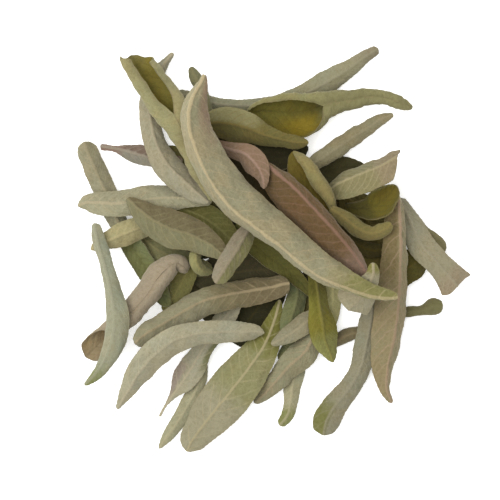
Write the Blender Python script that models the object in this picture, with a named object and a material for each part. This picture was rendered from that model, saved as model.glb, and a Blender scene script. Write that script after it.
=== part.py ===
"""A loose bunch of dried sage leaves, lying in a heap on a flat surface.

Each leaf is one thin shell, curled as it dried. The leaves are laid one after another, the lowest first,
and each one comes to rest on those already there. Metres, +Z up, origin under the middle of the heap.
"""

from collections import namedtuple

import bpy
import numpy as np

# The plan is drawn on a grid of quarter millimetres, seen from above, with y growing towards the viewer.
GRID = 0.00025
PLAN_MIDDLE = (272.0, 250.0)

LEAF_THICKNESS = 0.0006
FULL_THICKNESS_WIDTH = 0.003
THINNEST_SHARE = 0.4
NARROWEST = 0.00075
TIP_SHARPNESS = 0.86
RIPPLE_HEIGHT = 0.0004
RIPPLE_LENGTH = 0.011
FULL_RIPPLE_WIDTH = 0.004

# How the leaves lie on each other. The heap's height is kept for each square cell of a field.
CLEARANCE = 0.00045
CELL = 0.0004
FIELD_HALF_SIDE = 0.068
BEND_STIFFNESS = 60.0
TILT_STIFFNESS = 6.0
TILT_REACH = 0.02

# How finely a leaf is divided, for its solid and for finding where it rests. Columns are for half a leaf,
# and each half has two, and one more for each so many degrees of its turn.
ROWS = 10
TURN_PER_COLUMN = 85.0
RESTING_ROWS = 150
RESTING_COLUMNS = 18
END_CROWDING = 0.4

# Colour, as seen from above, and roughness of each kind of leaf.
TONES = {
    "pale": ((0.42, 0.40, 0.26, 1.0), 0.85),
    "grey": ((0.36, 0.35, 0.28, 1.0), 0.88),
    "green": ((0.15, 0.16, 0.05, 1.0), 0.80),
    "mauve": ((0.30, 0.19, 0.15, 1.0), 0.85),
}

# section: slope beside the midrib and further turn out to the margin, in degrees, for the left half and
# then the right; down is positive. run: (x, y, seen width) from the stalk end to the tip, in plan steps.
# ends: how far the stalk end and the tip stand above the middle, in millimetres. roll: lean at either end,
# in degrees. tip_section: the section that the leaf has changed to at its tip. change: the shares of the
# length between which it changes. late: how late the further turn comes, towards the margin. corners: how
# far the outline rounds off at the stalk end and at the tip, in millimetres.
Leaf = namedtuple(
    "Leaf",
    "name tone section run ends roll tip_section change late corners",
    defaults=((0, 0), (0, 0), None, (0, 1), 2, (2.2, 2.2)),
)

ARCHED = (15, 35, 15, 35)
FLAT = (6, 18, 6, 18)
ROOF = (28, 22, 28, 22)
ROLLED = (25, 85, 25, 85)
DISHED = (-12, -22, -12, -22)
TROUGH = (-10, -165, -24, -212)

LEAVES = [
    # Leaves at the bottom of the heap, which show only through the gaps.
    Leaf("under_leaf_low_left", "mauve", FLAT,
         [(228, 352, 8), (240, 332, 32), (256, 310, 38), (272, 290, 32), (290, 270, 8)]),
    Leaf("under_leaf_low_right", "grey", FLAT,
         [(300, 330, 8), (310, 298, 28), (326, 262, 34), (346, 228, 28), (358, 204, 10)]),
    Leaf("under_leaf_left", "grey", FLAT,
         [(178, 256, 10), (200, 246, 28), (232, 232, 36), (266, 220, 30), (290, 212, 8)]),
    Leaf("under_leaf_right", "grey", FLAT,
         [(276, 150, 10), (292, 166, 30), (312, 188, 34), (336, 214, 32), (356, 236, 24), (368, 250, 8)]),
    Leaf("under_leaf_upper", "grey", FLAT,
         [(208, 120, 10), (224, 138, 36), (243, 161, 44), (259, 188, 42), (276, 212, 36), (290, 232, 12)]),
    Leaf("under_leaf_top_left", "green", FLAT,
         [(160, 148, 10), (176, 157, 24), (191, 174, 32), (206, 195, 34), (220, 214, 26), (228, 226, 10)]),
    Leaf("under_leaf_narrow", "grey", FLAT,
         [(184, 262, 8), (190, 280, 24), (200, 300, 26), (214, 322, 12)]),
    Leaf("under_leaf_middle", "mauve", FLAT,
         [(188, 276, 10), (208, 276, 34), (230, 273, 42), (252, 270, 42), (272, 270, 30), (288, 274, 10)]),
    Leaf("under_leaf_far_right", "green", FLAT,
         [(340, 190, 10), (355, 207, 36), (374, 232, 46), (382, 258, 50), (388, 284, 14)]),
    Leaf("under_leaf_far_left", "mauve", FLAT,
         [(140, 236, 8), (154, 248, 24), (172, 258, 26), (192, 266, 22), (212, 270, 12)]),
    # The outermost leaves, which lie on the surface.
    Leaf("top_long_leaf", "grey", (12, 30, 20, 40),
         [(176, 91, 8), (198, 98, 13), (222, 103, 12), (250, 104, 13), (278, 101, 16), (304, 92, 20),
          (327, 80, 23), (347, 68, 18), (364, 56, 13), (378, 47, 9)], (0, 5)),
    Leaf("top_dark_leaf", "green", DISHED,
         [(240, 152, 10), (262, 155, 24), (282, 156, 26), (298, 150, 20), (308, 146, 8)]),
    Leaf("right_dark_leaf", "green", DISHED,
         [(312, 182, 10), (326, 172, 26), (342, 167, 24), (356, 167, 16), (370, 172, 8)]),
    Leaf("right_round_leaf", "green", ARCHED,
         [(402, 220, 8), (416, 228, 15), (429, 239, 18), (438, 246, 18), (444, 253, 10)]),
    Leaf("right_olive_leaf", "green", FLAT,
         [(382, 294, 8), (392, 283, 24), (403, 270, 32), (416, 261, 30), (430, 252, 10)]),
    Leaf("right_stub_leaf", "green", ROLLED,
         [(390, 313, 6), (406, 312, 9), (422, 310, 9), (434, 306, 16), (443, 305, 12)]),
    Leaf("right_cross_leaf", "mauve", ROLLED,
         [(326, 349, 5), (338, 340, 11), (351, 334, 13), (366, 332, 11), (384, 330, 5)]),
    Leaf("bottom_hooked_leaf", "pale", ARCHED,
         [(298, 352, 8), (295, 368, 20), (292, 384, 18), (290, 401, 14), (287, 415, 13), (279, 426, 9)],
         (0, -1)),
    Leaf("bottom_slim_leaf", "pale", ARCHED,
         [(204, 362, 6), (199, 380, 14), (190, 400, 17), (177, 422, 15), (165, 439, 10), (158, 449, 3)]),
    Leaf("bottom_stalked_leaf", "grey", FLAT,
         [(159, 417, 3), (165, 406, 3), (172, 396, 8), (182, 382, 24), (192, 367, 27), (201, 351, 21),
          (215, 332, 20), (229, 312, 20), (241, 296, 8)]),
    Leaf("left_olive_leaf", "green", ARCHED,
         [(194, 254, 8), (187, 270, 21), (179, 286, 24), (171, 300, 20), (164, 313, 8)]),
    Leaf("left_green_leaf", "green", DISHED,
         [(112, 212, 8), (123, 232, 20), (135, 252, 23), (149, 275, 22), (160, 294, 18), (168, 306, 8)]),
    Leaf("left_blunt_leaf", "pale", ROOF,
         [(121, 230, 16), (111, 207, 22), (101, 184, 22), (92, 164, 22), (86, 150, 20), (83, 141, 16)]),
    Leaf("left_twisted_leaf", "mauve", ROOF,
         [(99, 146, 7), (113, 148, 6), (126, 151, 15), (138, 154, 19), (150, 156, 18), (166, 158, 14),
          (182, 160, 6)], (2, 0), (20, -20)),
    Leaf("middle_teal_leaf", "green", ARCHED,
         [(314, 330, 8), (303, 338, 15), (292, 346, 16), (284, 353, 12), (278, 359, 5)]),
    Leaf("middle_grey_leaf", "pale", ARCHED,
         [(330, 272, 10), (332, 290, 19), (332, 308, 16), (330, 322, 12), (328, 334, 6)]),
    Leaf("right_hidden_leaf", "green", ARCHED,
         [(346, 236, 8), (360, 246, 15), (374, 250, 15), (390, 247, 6)]),
    Leaf("top_small_green_tip", "green", ROLLED,
         [(209, 114, 6), (205, 100, 9), (200, 87, 10), (194, 75, 10), (190, 66, 5)], (0, 3)),
    # The second round.
    Leaf("left_tan_leaf", "pale", ARCHED,
         [(90, 249, 5), (101, 243, 14), (115, 237, 22), (132, 230, 24), (150, 223, 20), (170, 216, 8)]),
    Leaf("left_mauve_leaf", "mauve", (-12, -50, -14, -60),
         [(84, 356, 24), (93, 347, 24), (107, 333, 22), (126, 315, 22), (147, 291, 23), (163, 269, 23),
          (176, 261, 16), (187, 269, 10)], (1, 2), (0, 0), (-38, -165, -50, -125), (0.02, 0.34)),
    Leaf("bottom_right_leaf", "pale", ROOF,
         [(314, 334, 8), (306, 350, 27), (289, 366, 25), (276, 381, 20), (264, 394, 14), (254, 403, 6)]),
    Leaf("bottom_broad_leaf", "pale", FLAT,
         [(279, 300, 6), (273, 322, 18), (263, 346, 32), (247, 369, 43), (230, 391, 48), (212, 413, 45),
          (199, 430, 34), (189, 445, 23), (186, 452, 12)]),
    Leaf("right_low_leaf", "grey", (14, 30, 14, 30),
         [(373, 290, 8), (371, 318, 22), (366, 345, 24), (360, 369, 21), (348, 390, 22), (334, 407, 26),
          (326, 422, 27), (323, 436, 20)]),
    Leaf("right_outer_leaf", "pale", (8, 18, 14, 24),
         [(400, 198, 8), (406, 213, 18), (414, 231, 26), (423, 248, 28), (431, 256, 27), (440, 266, 26),
          (449, 276, 30), (458, 287, 37)], corners=(2.2, 0.8)),
    Leaf("middle_blue_leaf", "pale", ARCHED,
         [(291, 262, 8), (297, 282, 16), (295, 302, 21), (289, 321, 20), (283, 339, 8)]),
    Leaf("middle_green_strip", "green", DISHED,
         [(234, 224, 8), (250, 241, 19), (268, 256, 21), (287, 270, 17), (302, 284, 13), (312, 297, 5)]),
    Leaf("middle_dark_green_leaf", "green", FLAT,
         [(158, 203, 8), (176, 207, 22), (195, 213, 29), (214, 224, 30), (229, 238, 22), (240, 252, 8)]),
    Leaf("small_curled_tip", "pale", ROLLED,
         [(201, 244, 7), (195, 254, 10), (196, 264, 11), (203, 271, 10), (211, 272, 4)]),
    # The upper leaves, which give the heap its outline.
    Leaf("left_long_pale_leaf", "pale", ROOF,
         [(77, 206, 4), (85, 203, 15), (96, 203, 22), (112, 204, 26), (131, 202, 27), (152, 199, 28),
          (176, 198, 23), (196, 200, 14), (211, 202, 6)]),
    Leaf("left_blue_rolled_leaf", "pale", (18, 40, 40, 75),
         [(95, 223, 7), (99, 240, 13), (106, 263, 13), (113, 289, 16), (118, 316, 22), (116, 338, 22),
          (107, 360, 15), (95, 376, 9), (85, 385, 3)]),
    Leaf("right_slim_rolled_leaf", "grey", ROLLED,
         [(304, 168, 10), (320, 159, 15), (335, 149, 17), (351, 138, 16), (367, 128, 14), (381, 119, 10),
          (393, 114, 3)], (0, 5)),
    Leaf("top_boat_leaf", "green", (-16, -215, -22, -75),
         [(246, 114, 8), (263, 112, 27), (281, 114, 40), (297, 115, 46), (311, 111, 38), (323, 105, 28),
          (338, 101, 22), (353, 99, 18), (368, 96, 15), (384, 97, 13), (400, 102, 11), (412, 107, 4)],
         (0, 4), (0, 0), (-48, -195, -46, -190), (0.32, 0.5), 3),
    Leaf("top_olive_leaf", "pale", ARCHED,
         [(200, 124, 10), (213, 122, 25), (229, 123, 34), (246, 127, 31), (263, 134, 22), (281, 139, 15),
          (298, 142, 13), (308, 142, 5)]),
    Leaf("right_pink_rib_leaf", "grey", (58, 45, 12, 24),
         [(395, 194, 9), (394, 215, 19), (394, 240, 23), (393, 264, 26), (390, 302, 31), (388, 322, 31),
          (385, 342, 29), (382, 372, 19), (384, 389, 10), (391, 403, 4)]),
    Leaf("right_open_olive_leaf", "green", (-25, -60, -25, -60),
         [(344, 206, 8), (354, 208, 13), (369, 208, 22), (382, 200, 28), (391, 191, 18), (395, 185, 8)]),
    Leaf("right_veined_leaf", "pale", (52, 42, 8, 20),
         [(324, 196, 8), (338, 189, 22), (352, 183, 27), (368, 177, 28), (384, 170, 26), (398, 161, 23),
          (407, 155, 15)],
         (0, 2), corners=(2.2, 0.5)),
    Leaf("middle_folded_leaf", "green", (-60, -190, -30, -20),
         [(291, 152, 9), (297, 163, 23), (304, 178, 33), (314, 193, 31), (326, 208, 20), (333, 219, 7)]),
    Leaf("right_small_hook_leaf", "pale", (20, 60, 20, 60),
         [(329, 208, 8), (343, 217, 14), (357, 228, 16), (372, 233, 14), (384, 229, 13), (391, 223, 7)]),
    Leaf("middle_pale_finger", "grey", ARCHED,
         [(320, 311, 8), (307, 321, 20), (291, 333, 18), (279, 340, 12), (271, 344, 5)]),
    Leaf("left_striped_leaf", "pale", (14, 30, 18, 36),
         [(127, 198, 6), (138, 208, 20), (152, 219, 31), (170, 228, 38), (190, 234, 34), (208, 243, 26),
          (222, 254, 14), (230, 264, 5)]),
    Leaf("left_bowed_leaf", "pale", (30, 50, 20, 35),
         [(172, 52, 4), (161, 66, 10), (153, 82, 15), (147, 102, 17), (149, 122, 20), (154, 143, 22),
          (164, 163, 26), (180, 180, 26), (195, 193, 19), (208, 203, 5)], (2, 0)),
    Leaf("pair_upper_leaf", "pale", (12, 32, 34, 32),
         [(289, 284, 18), (270, 289, 24), (248, 293, 27), (225, 297, 27), (203, 303, 28), (182, 314, 26),
          (162, 326, 24), (145, 336, 23), (134, 344, 12)]),
    Leaf("pair_lower_leaf", "pale", (14, 34, 14, 34),
         [(116, 408, 4), (126, 391, 15), (138, 371, 25), (152, 355, 28), (176, 338, 27), (200, 332, 23),
          (224, 331, 23), (245, 331, 18), (257, 331, 12), (263, 332, 4)]),
    Leaf("middle_upright_leaf", "pale", ROOF,
         [(255, 218, 8), (244, 236, 20), (233, 255, 22), (223, 270, 20), (215, 283, 12)]),
    Leaf("green_tongue_leaf", "green", (12, 28, 12, 28),
         [(311, 266, 8), (315, 285, 17), (318, 305, 21), (321, 325, 28), (324, 340, 26), (329, 353, 15),
          (332, 362, 4)]),
    Leaf("mauve_broad_leaf", "mauve", (62, 40, 12, 26),
         [(262, 163, 8), (272, 178, 24), (286, 193, 32), (304, 212, 33), (322, 231, 32), (340, 250, 28),
          (354, 265, 20), (366, 277, 6)]),
    Leaf("right_round_end_leaf", "pale", (20, 50, 12, 30),
         [(371, 262, 7), (371, 273, 13), (365, 286, 24), (356, 297, 36), (350, 304, 34), (347, 309, 20)]),
    Leaf("mauve_small_leaf", "mauve", (22, 30, 22, 30),
         [(214, 142, 8), (230, 149, 15), (246, 154, 22), (257, 165, 24), (263, 178, 13), (264, 188, 4)],
         (0, -3)),
    Leaf("top_left_trough_leaf", "green", TROUGH,
         [(130, 50, 25), (140, 66, 30), (153, 85, 33), (166, 104, 35), (179, 126, 28), (190, 149, 20),
          (198, 170, 15), (207, 188, 10), (212, 200, 4)],
         (4, 0), (0, 0), (-46, -136, -32, -168), (0.25, 0.55), corners=(0.6, 2.2)),
    Leaf("front_long_leaf", "pale", (30, 70, 70, 20),
         [(204, 76, 3), (202, 85, 9), (198, 95, 18), (195, 107, 25), (195, 124, 29), (202, 146, 33),
          (214, 170, 36), (239, 201, 38), (262, 220, 34), (287, 239, 31), (306, 256, 29), (324, 269, 27),
          (348, 281, 20), (371, 291, 14), (385, 294, 11), (396, 296, 5)],
         (1, 0), (0, 0), (10, 20, 78, 14)),
]


def plan_to_metres(x, y):
    """A plan point in metres, with x to the right and y away from the viewer."""
    return (x - PLAN_MIDDLE[0]) * GRID, (PLAN_MIDDLE[1] - y) * GRID


def smooth_through(knots, values, at):
    """Values at the given places on the smooth curve that passes through all the knots."""
    slopes = np.gradient(values, knots, axis=0)
    i = np.clip(np.searchsorted(knots, at, side="right") - 1, 0, len(knots) - 2)
    length = (knots[i + 1] - knots[i])[:, None]
    u = (at[:, None] - knots[i][:, None]) / length
    start = (1 + 2 * u) * (1 - u) ** 2 * values[i] + u * (1 - u) ** 2 * length * slopes[i]
    end = u * u * (3 - 2 * u) * values[i + 1] + u * u * (u - 1) * length * slopes[i + 1]
    return start + end


def half_section(fold, curl, late, steps=24):
    """One half of the cross-section for each row, of unit length: how far out and how far down it goes."""
    u = np.linspace(0, 1, steps + 1)
    angle = fold[:, None] + curl[:, None] * u[None, :] ** late
    out = np.zeros_like(angle)
    down = np.zeros_like(angle)
    out[:, 1:] = np.cumsum((np.cos(angle[:, 1:]) + np.cos(angle[:, :-1])) / 2, axis=1) / steps
    down[:, 1:] = np.cumsum((np.sin(angle[:, 1:]) + np.sin(angle[:, :-1])) / 2, axis=1) / steps
    return u, out, down


def leaf_surface(leaf, index, rows, columns):
    """The leaf's middle surface: a grid of points, from stalk end to tip and from right margin to left."""
    run = np.array(leaf.run, float)
    points = np.array([(*plan_to_metres(x, y), w * GRID) for x, y, w in run])
    chord = np.r_[0, np.cumsum(np.linalg.norm(np.diff(points[:, :2], axis=0), axis=1))]
    length = chord[-1]
    even = np.linspace(0, 1, rows + 1)
    share = (1 - END_CROWDING) * even + END_CROWDING * (1 - np.cos(np.pi * even)) / 2
    line = smooth_through(chord, points, share * length)
    before = smooth_through(chord, points, np.clip(share * length - CELL / 40, 0, length))
    after = smooth_through(chord, points, np.clip(share * length + CELL / 40, 0, length))
    step = (after - before)[:, :2]
    ahead = step / np.linalg.norm(step, axis=1)[:, None]
    left = np.stack([-ahead[:, 1], ahead[:, 0]], axis=1)

    width = np.maximum(line[:, 2], NARROWEST)
    to_end = np.minimum(share, 1 - share) * length
    rounding = np.minimum(width / 2, np.where(share < 0.5, *leaf.corners) * 0.001)
    near = 1 - np.clip(to_end / rounding, 0, 1)
    width = width - 2 * rounding * (1 - np.sqrt(1 - TIP_SHARPNESS * near ** 2))

    sections = np.radians(np.stack([leaf.section, leaf.tip_section or leaf.section], axis=1))
    mix = np.clip((share - leaf.change[0]) / (leaf.change[1] - leaf.change[0]), 0, 1)
    mix = mix * mix * (3 - 2 * mix)
    fold_left, curl_left, fold_right, curl_right = sections[:, :1] * (1 - mix) + sections[:, 1:] * mix
    roll = np.radians(leaf.roll[0] + (leaf.roll[1] - leaf.roll[0]) * share)
    u, out_left, down_left = half_section(fold_left + roll, curl_left, leaf.late)
    _, out_right, down_right = half_section(fold_right - roll, curl_right, leaf.late)
    reach_left, reach_right = out_left.max(axis=1), out_right.max(axis=1)
    half_width = width / (reach_left + reach_right)
    midrib = (reach_right - reach_left) / 2

    across = np.linspace(-1, 1, 2 * columns + 1)
    a = np.zeros((rows + 1, len(across)))
    b = np.zeros_like(a)
    for row in range(rows + 1):
        on_left = across >= 0
        a[row, on_left] = np.interp(across[on_left], u, out_left[row])
        b[row, on_left] = -np.interp(across[on_left], u, down_left[row])
        a[row, ~on_left] = -np.interp(-across[~on_left], u, out_right[row])
        b[row, ~on_left] = -np.interp(-across[~on_left], u, down_right[row])
    a = (a + midrib[:, None]) * half_width[:, None]
    b = b * half_width[:, None]

    ends = np.where(share < 0.5, leaf.ends[0], leaf.ends[1]) * 0.001 * (2 * share - 1) ** 2
    phase = 2.4 * index + np.where(across > 0, 1.7, 0.0)
    wave = np.sin(2 * np.pi * share[:, None] * length / RIPPLE_LENGTH + phase[None, :])
    freedom = np.clip(half_width / FULL_RIPPLE_WIDTH, 0, 1)
    ripple = RIPPLE_HEIGHT * wave * across[None, :] ** 2 * freedom[:, None]

    grid = np.zeros((rows + 1, len(across), 3))
    grid[:, :, :2] = line[:, None, :2] + a[:, :, None] * left[:, None, :]
    grid[:, :, 2] = b + ends[:, None] + ripple
    thickness = LEAF_THICKNESS * np.clip(width / FULL_THICKNESS_WIDTH, THINNEST_SHARE, 1)
    return grid, share, thickness


def both_faces(grid, thickness):
    """The upper and the lower face of a shell about the middle surface, with each row's own thickness."""
    along = np.gradient(grid, axis=0)
    sideways = np.gradient(grid, axis=1)
    normal = np.cross(along, sideways)
    normal /= np.linalg.norm(normal, axis=2)[:, :, None]
    outwards = normal * thickness[:, None, None] / 2
    return grid + outwards, grid - outwards


class Heap:
    """The height of the heap at each cell of a square field, as leaves are added to it."""

    def __init__(self):
        self.side = int(2 * FIELD_HALF_SIDE / CELL)
        self.top = np.full((self.side, self.side), -1.0)

    def cells(self, points):
        at = ((points[:, :2] + FIELD_HALF_SIDE) / CELL).astype(int)
        return tuple(np.clip(at, 1, self.side - 2).T)

    def height_needed(self, points):
        return np.maximum(self.top[self.cells(points)] + CLEARANCE, 0.0)

    def add(self, points):
        layer = np.full_like(self.top, -1.0)
        np.maximum.at(layer, self.cells(points), points[:, 2])
        for axis in (0, 1):
            layer = np.maximum(layer, np.maximum(np.roll(layer, 1, axis), np.roll(layer, -1, axis)))
        self.top = np.maximum(self.top, layer)


def lie_terms(points, share, middle):
    """What a leaf's height may depend on as it settles: where it is in plan, and its bend end to end."""
    return np.stack([
        (points[..., 0] - middle[0]) / TILT_REACH,
        (points[..., 1] - middle[1]) / TILT_REACH,
        (2 * share - 1) ** 2,
    ], axis=-1)


def settle(need, terms):
    """The lift, two tilts and bend at which a leaf rests lowest with every point clear of what is below."""
    mean = terms.mean(axis=0)
    stiffness = np.diag([TILT_STIFFNESS, TILT_STIFFNESS, BEND_STIFFNESS])
    lie = np.zeros(3)
    for softness in (0.002, 0.001, 0.0005, 0.0002, 0.0001):
        def height_at(p):
            room = (need - terms @ p) / softness
            top = room.max()
            return softness * (top + np.log(np.exp(room - top).mean())) + mean @ p + p @ stiffness @ p

        for _ in range(12):
            room = (need - terms @ lie) / softness
            weight = np.exp(room - room.max())
            weight /= weight.sum()
            pushed = weight @ terms
            slope = mean - pushed + 2 * stiffness @ lie
            spread = (terms * weight[:, None]).T @ terms - np.outer(pushed, pushed)
            move = np.linalg.solve(spread / softness + 2 * stiffness + 1e-9 * np.eye(3), -slope)
            size = 1.0
            now = height_at(lie)
            while size > 1e-3 and height_at(lie + size * move) > now:
                size /= 2
            if size <= 1e-3:
                break
            lie = lie + size * move
    return (need - terms @ lie).max(), lie


def shell_mesh(name, upper, lower):
    """A closed shell from the two faces: both grids, joined by a rim."""
    rows, columns = upper.shape[:2]
    vertices = np.concatenate([upper.reshape(-1, 3), lower.reshape(-1, 3)])
    under = rows * columns

    def at(row, column):
        return row * columns + column

    faces = []
    for row in range(rows - 1):
        for column in range(columns - 1):
            a, b = at(row, column), at(row + 1, column)
            c, d = at(row + 1, column + 1), at(row, column + 1)
            faces += [(a, b, c), (a, c, d)]
            faces += [(under + c, under + b, under + a), (under + d, under + c, under + a)]
    rim = [at(row, 0) for row in range(rows)]
    rim += [at(rows - 1, column) for column in range(1, columns)]
    rim += [at(row, columns - 1) for row in range(rows - 2, -1, -1)]
    rim += [at(0, column) for column in range(columns - 2, 0, -1)]
    for here, there in zip(rim, rim[1:] + rim[:1]):
        faces += [(there, here, under + here), (there, under + here, under + there)]
    mesh = bpy.data.meshes.new(name)
    mesh.from_pydata(vertices.tolist(), [], faces)
    mesh.update()
    return mesh


def lay_leaf(leaf, index, heap):
    """Lays one leaf on the heap, and gives the upper and lower face of its solid where it rests."""
    surface, share, thickness = leaf_surface(leaf, index, RESTING_ROWS, RESTING_COLUMNS)
    points = np.concatenate([face.reshape(-1, 3) for face in both_faces(surface, thickness)])
    middle = points[:, :2].mean(axis=0)
    terms = lie_terms(points, np.tile(np.repeat(share, surface.shape[1]), 2), middle)
    lift, lie = settle(heap.height_needed(points) - points[:, 2], terms)
    points[:, 2] += lift + terms @ lie
    heap.add(points)

    sections = np.reshape([leaf.section, leaf.tip_section or leaf.section], (-1, 2))
    columns = 2 + int(np.abs(sections.sum(axis=1)).max() / TURN_PER_COLUMN)
    surface, share, thickness = leaf_surface(leaf, index, ROWS, columns)
    terms = lie_terms(surface, np.repeat(share[:, None], surface.shape[1], axis=1), middle)
    surface[:, :, 2] += lift + terms @ lie
    return both_faces(surface, thickness)


def leaf_material(leaf):
    colour, roughness = TONES[leaf.tone]
    material = bpy.data.materials.new(leaf.name)
    material.use_nodes = True
    shader = material.node_tree.nodes["Principled BSDF"]
    shader.inputs["Base Color"].default_value = colour
    shader.inputs["Roughness"].default_value = roughness
    material.diffuse_color = colour
    return material


def main():
    for old in list(bpy.data.objects):
        bpy.data.objects.remove(old)

    heap = Heap()
    shells = [lay_leaf(leaf, index, heap) for index, leaf in enumerate(LEAVES)]
    everything = np.concatenate([face.reshape(-1, 3) for faces in shells for face in faces])
    low, high = everything.min(axis=0), everything.max(axis=0)
    shift = np.array([(low[0] + high[0]) / 2, (low[1] + high[1]) / 2, low[2]])
    for leaf, (upper, lower) in zip(LEAVES, shells):
        mesh = shell_mesh(leaf.name, upper - shift, lower - shift)
        mesh.materials.append(leaf_material(leaf))
        mesh.shade_smooth()
        bpy.context.scene.collection.objects.link(bpy.data.objects.new(leaf.name, mesh))


main()
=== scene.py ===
from collections import namedtuple

import bpy
import numpy as np
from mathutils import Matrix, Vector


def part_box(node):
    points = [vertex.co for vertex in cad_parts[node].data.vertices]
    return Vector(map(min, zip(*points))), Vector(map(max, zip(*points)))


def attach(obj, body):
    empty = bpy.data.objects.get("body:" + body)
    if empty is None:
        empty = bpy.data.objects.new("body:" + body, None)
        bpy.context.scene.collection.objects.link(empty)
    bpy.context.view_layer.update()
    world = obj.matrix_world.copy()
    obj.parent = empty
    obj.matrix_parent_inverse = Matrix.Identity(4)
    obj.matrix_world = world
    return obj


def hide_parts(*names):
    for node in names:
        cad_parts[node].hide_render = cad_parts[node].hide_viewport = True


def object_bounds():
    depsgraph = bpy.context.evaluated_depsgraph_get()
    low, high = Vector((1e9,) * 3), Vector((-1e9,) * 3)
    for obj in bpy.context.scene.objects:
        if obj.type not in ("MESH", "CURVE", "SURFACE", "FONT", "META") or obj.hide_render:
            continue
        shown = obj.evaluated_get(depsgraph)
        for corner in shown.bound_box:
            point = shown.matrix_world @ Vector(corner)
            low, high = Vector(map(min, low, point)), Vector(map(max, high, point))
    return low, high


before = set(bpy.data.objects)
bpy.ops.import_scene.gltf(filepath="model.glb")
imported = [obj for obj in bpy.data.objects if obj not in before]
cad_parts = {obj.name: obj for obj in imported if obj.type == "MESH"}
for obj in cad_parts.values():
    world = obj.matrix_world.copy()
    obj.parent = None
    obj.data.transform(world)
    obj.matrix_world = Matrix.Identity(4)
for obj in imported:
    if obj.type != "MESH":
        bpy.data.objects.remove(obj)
packed_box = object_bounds()


# The leaves under the others.
# Sage leaves picked small and dried in air: one thin blade each, felted with pale hairs on the underside
# and pebbled olive above. They lie loose on the surface and show only through gaps in the heap.

# Plans are drawn on a grid of quarter millimetres, seen from above, with y growing towards the viewer.
MM = 0.001
GRID = 0.25 * MM
PLAN_MIDDLE = (272.0, 250.0)

# A leaf's section is the slope beside its midrib and the further turn out to the margin, in degrees, for
# the left half and then the right, down being positive. late is how late that turn comes. It changes to
# tip_section between the two shares of the length in change. run is (x, y, seen width) from stalk to tip.
# ends is how far the two ends stand up in millimetres, roll how they lean in degrees, and corners how far
# the outline rounds off there. stalk_edge and tip_edge are (side, millimetres) pairs: how far the end is
# torn in. felt, green and rib are the colours of its underside, upper face and midrib, and without a rib the
# midrib is a little paler than the felt. opens says that the upper face is the one on top. patches are
# (colour, from, to, side from, side to), in shares of length and half width. veins is how plainly the veins
# show, lean is -1 where they slant to the start of the run, and stout widens the midrib.
Leaf = namedtuple(
    "Leaf",
    "name slot section run felt green rib opens ends roll tip_section change late corners patches veins "
    "stalk_edge tip_edge lean stout",
    defaults=((84, 82, 42), None, False, (0, 0), (0, 0), None, (0, 1), 2, (2.2, 2.2), (), 0.7, None, None,
              1, 1.0),
)

FLAT = (6, 18, 6, 18)

NARROWEST = 0.75 * MM
TIP_SHARPNESS = 0.86
RIPPLE_HEIGHT, RIPPLE_LENGTH = 0.4 * MM, 11 * MM
FULL_RIPPLE_WIDTH = 4 * MM
LEAVES_OUT_OF_STEP, SIDES_OUT_OF_STEP = 2.4, 1.7
END_CROWDING = 0.4
SECTION_STEPS = 24
NUDGE = 0.01 * MM

Surface = namedtuple("Surface", "grid share across half_width length width")


def eased(share):
    """A share from 0 to 1 with a gentle start and end."""
    return share * share * (3 - 2 * share)


def smooth_through(knots, values, at):
    """Values at the given places on the smooth curve that passes through all the knots."""
    slopes = np.gradient(values, knots, axis=0)
    i = np.clip(np.searchsorted(knots, at, side="right") - 1, 0, len(knots) - 2)
    length = (knots[i + 1] - knots[i])[:, None]
    u = (at[:, None] - knots[i][:, None]) / length
    start = (1 + 2 * u) * (1 - u) ** 2 * values[i] + u * (1 - u) ** 2 * length * slopes[i]
    end = u * u * (3 - 2 * u) * values[i + 1] + u * u * (u - 1) * length * slopes[i + 1]
    return start + end


def half_section(fold, curl, late):
    """One half of the cross-section for each row, of unit length: how far out and how far down it goes."""
    u = np.linspace(0, 1, SECTION_STEPS + 1)
    angle = fold[:, None] + curl[:, None] * u[None, :] ** late
    out = np.zeros_like(angle)
    down = np.zeros_like(angle)
    for way, turned in ((out, np.cos(angle)), (down, np.sin(angle))):
        way[:, 1:] = np.cumsum((turned[:, 1:] + turned[:, :-1]) / 2, axis=1) / SECTION_STEPS
    return u, out, down


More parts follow.
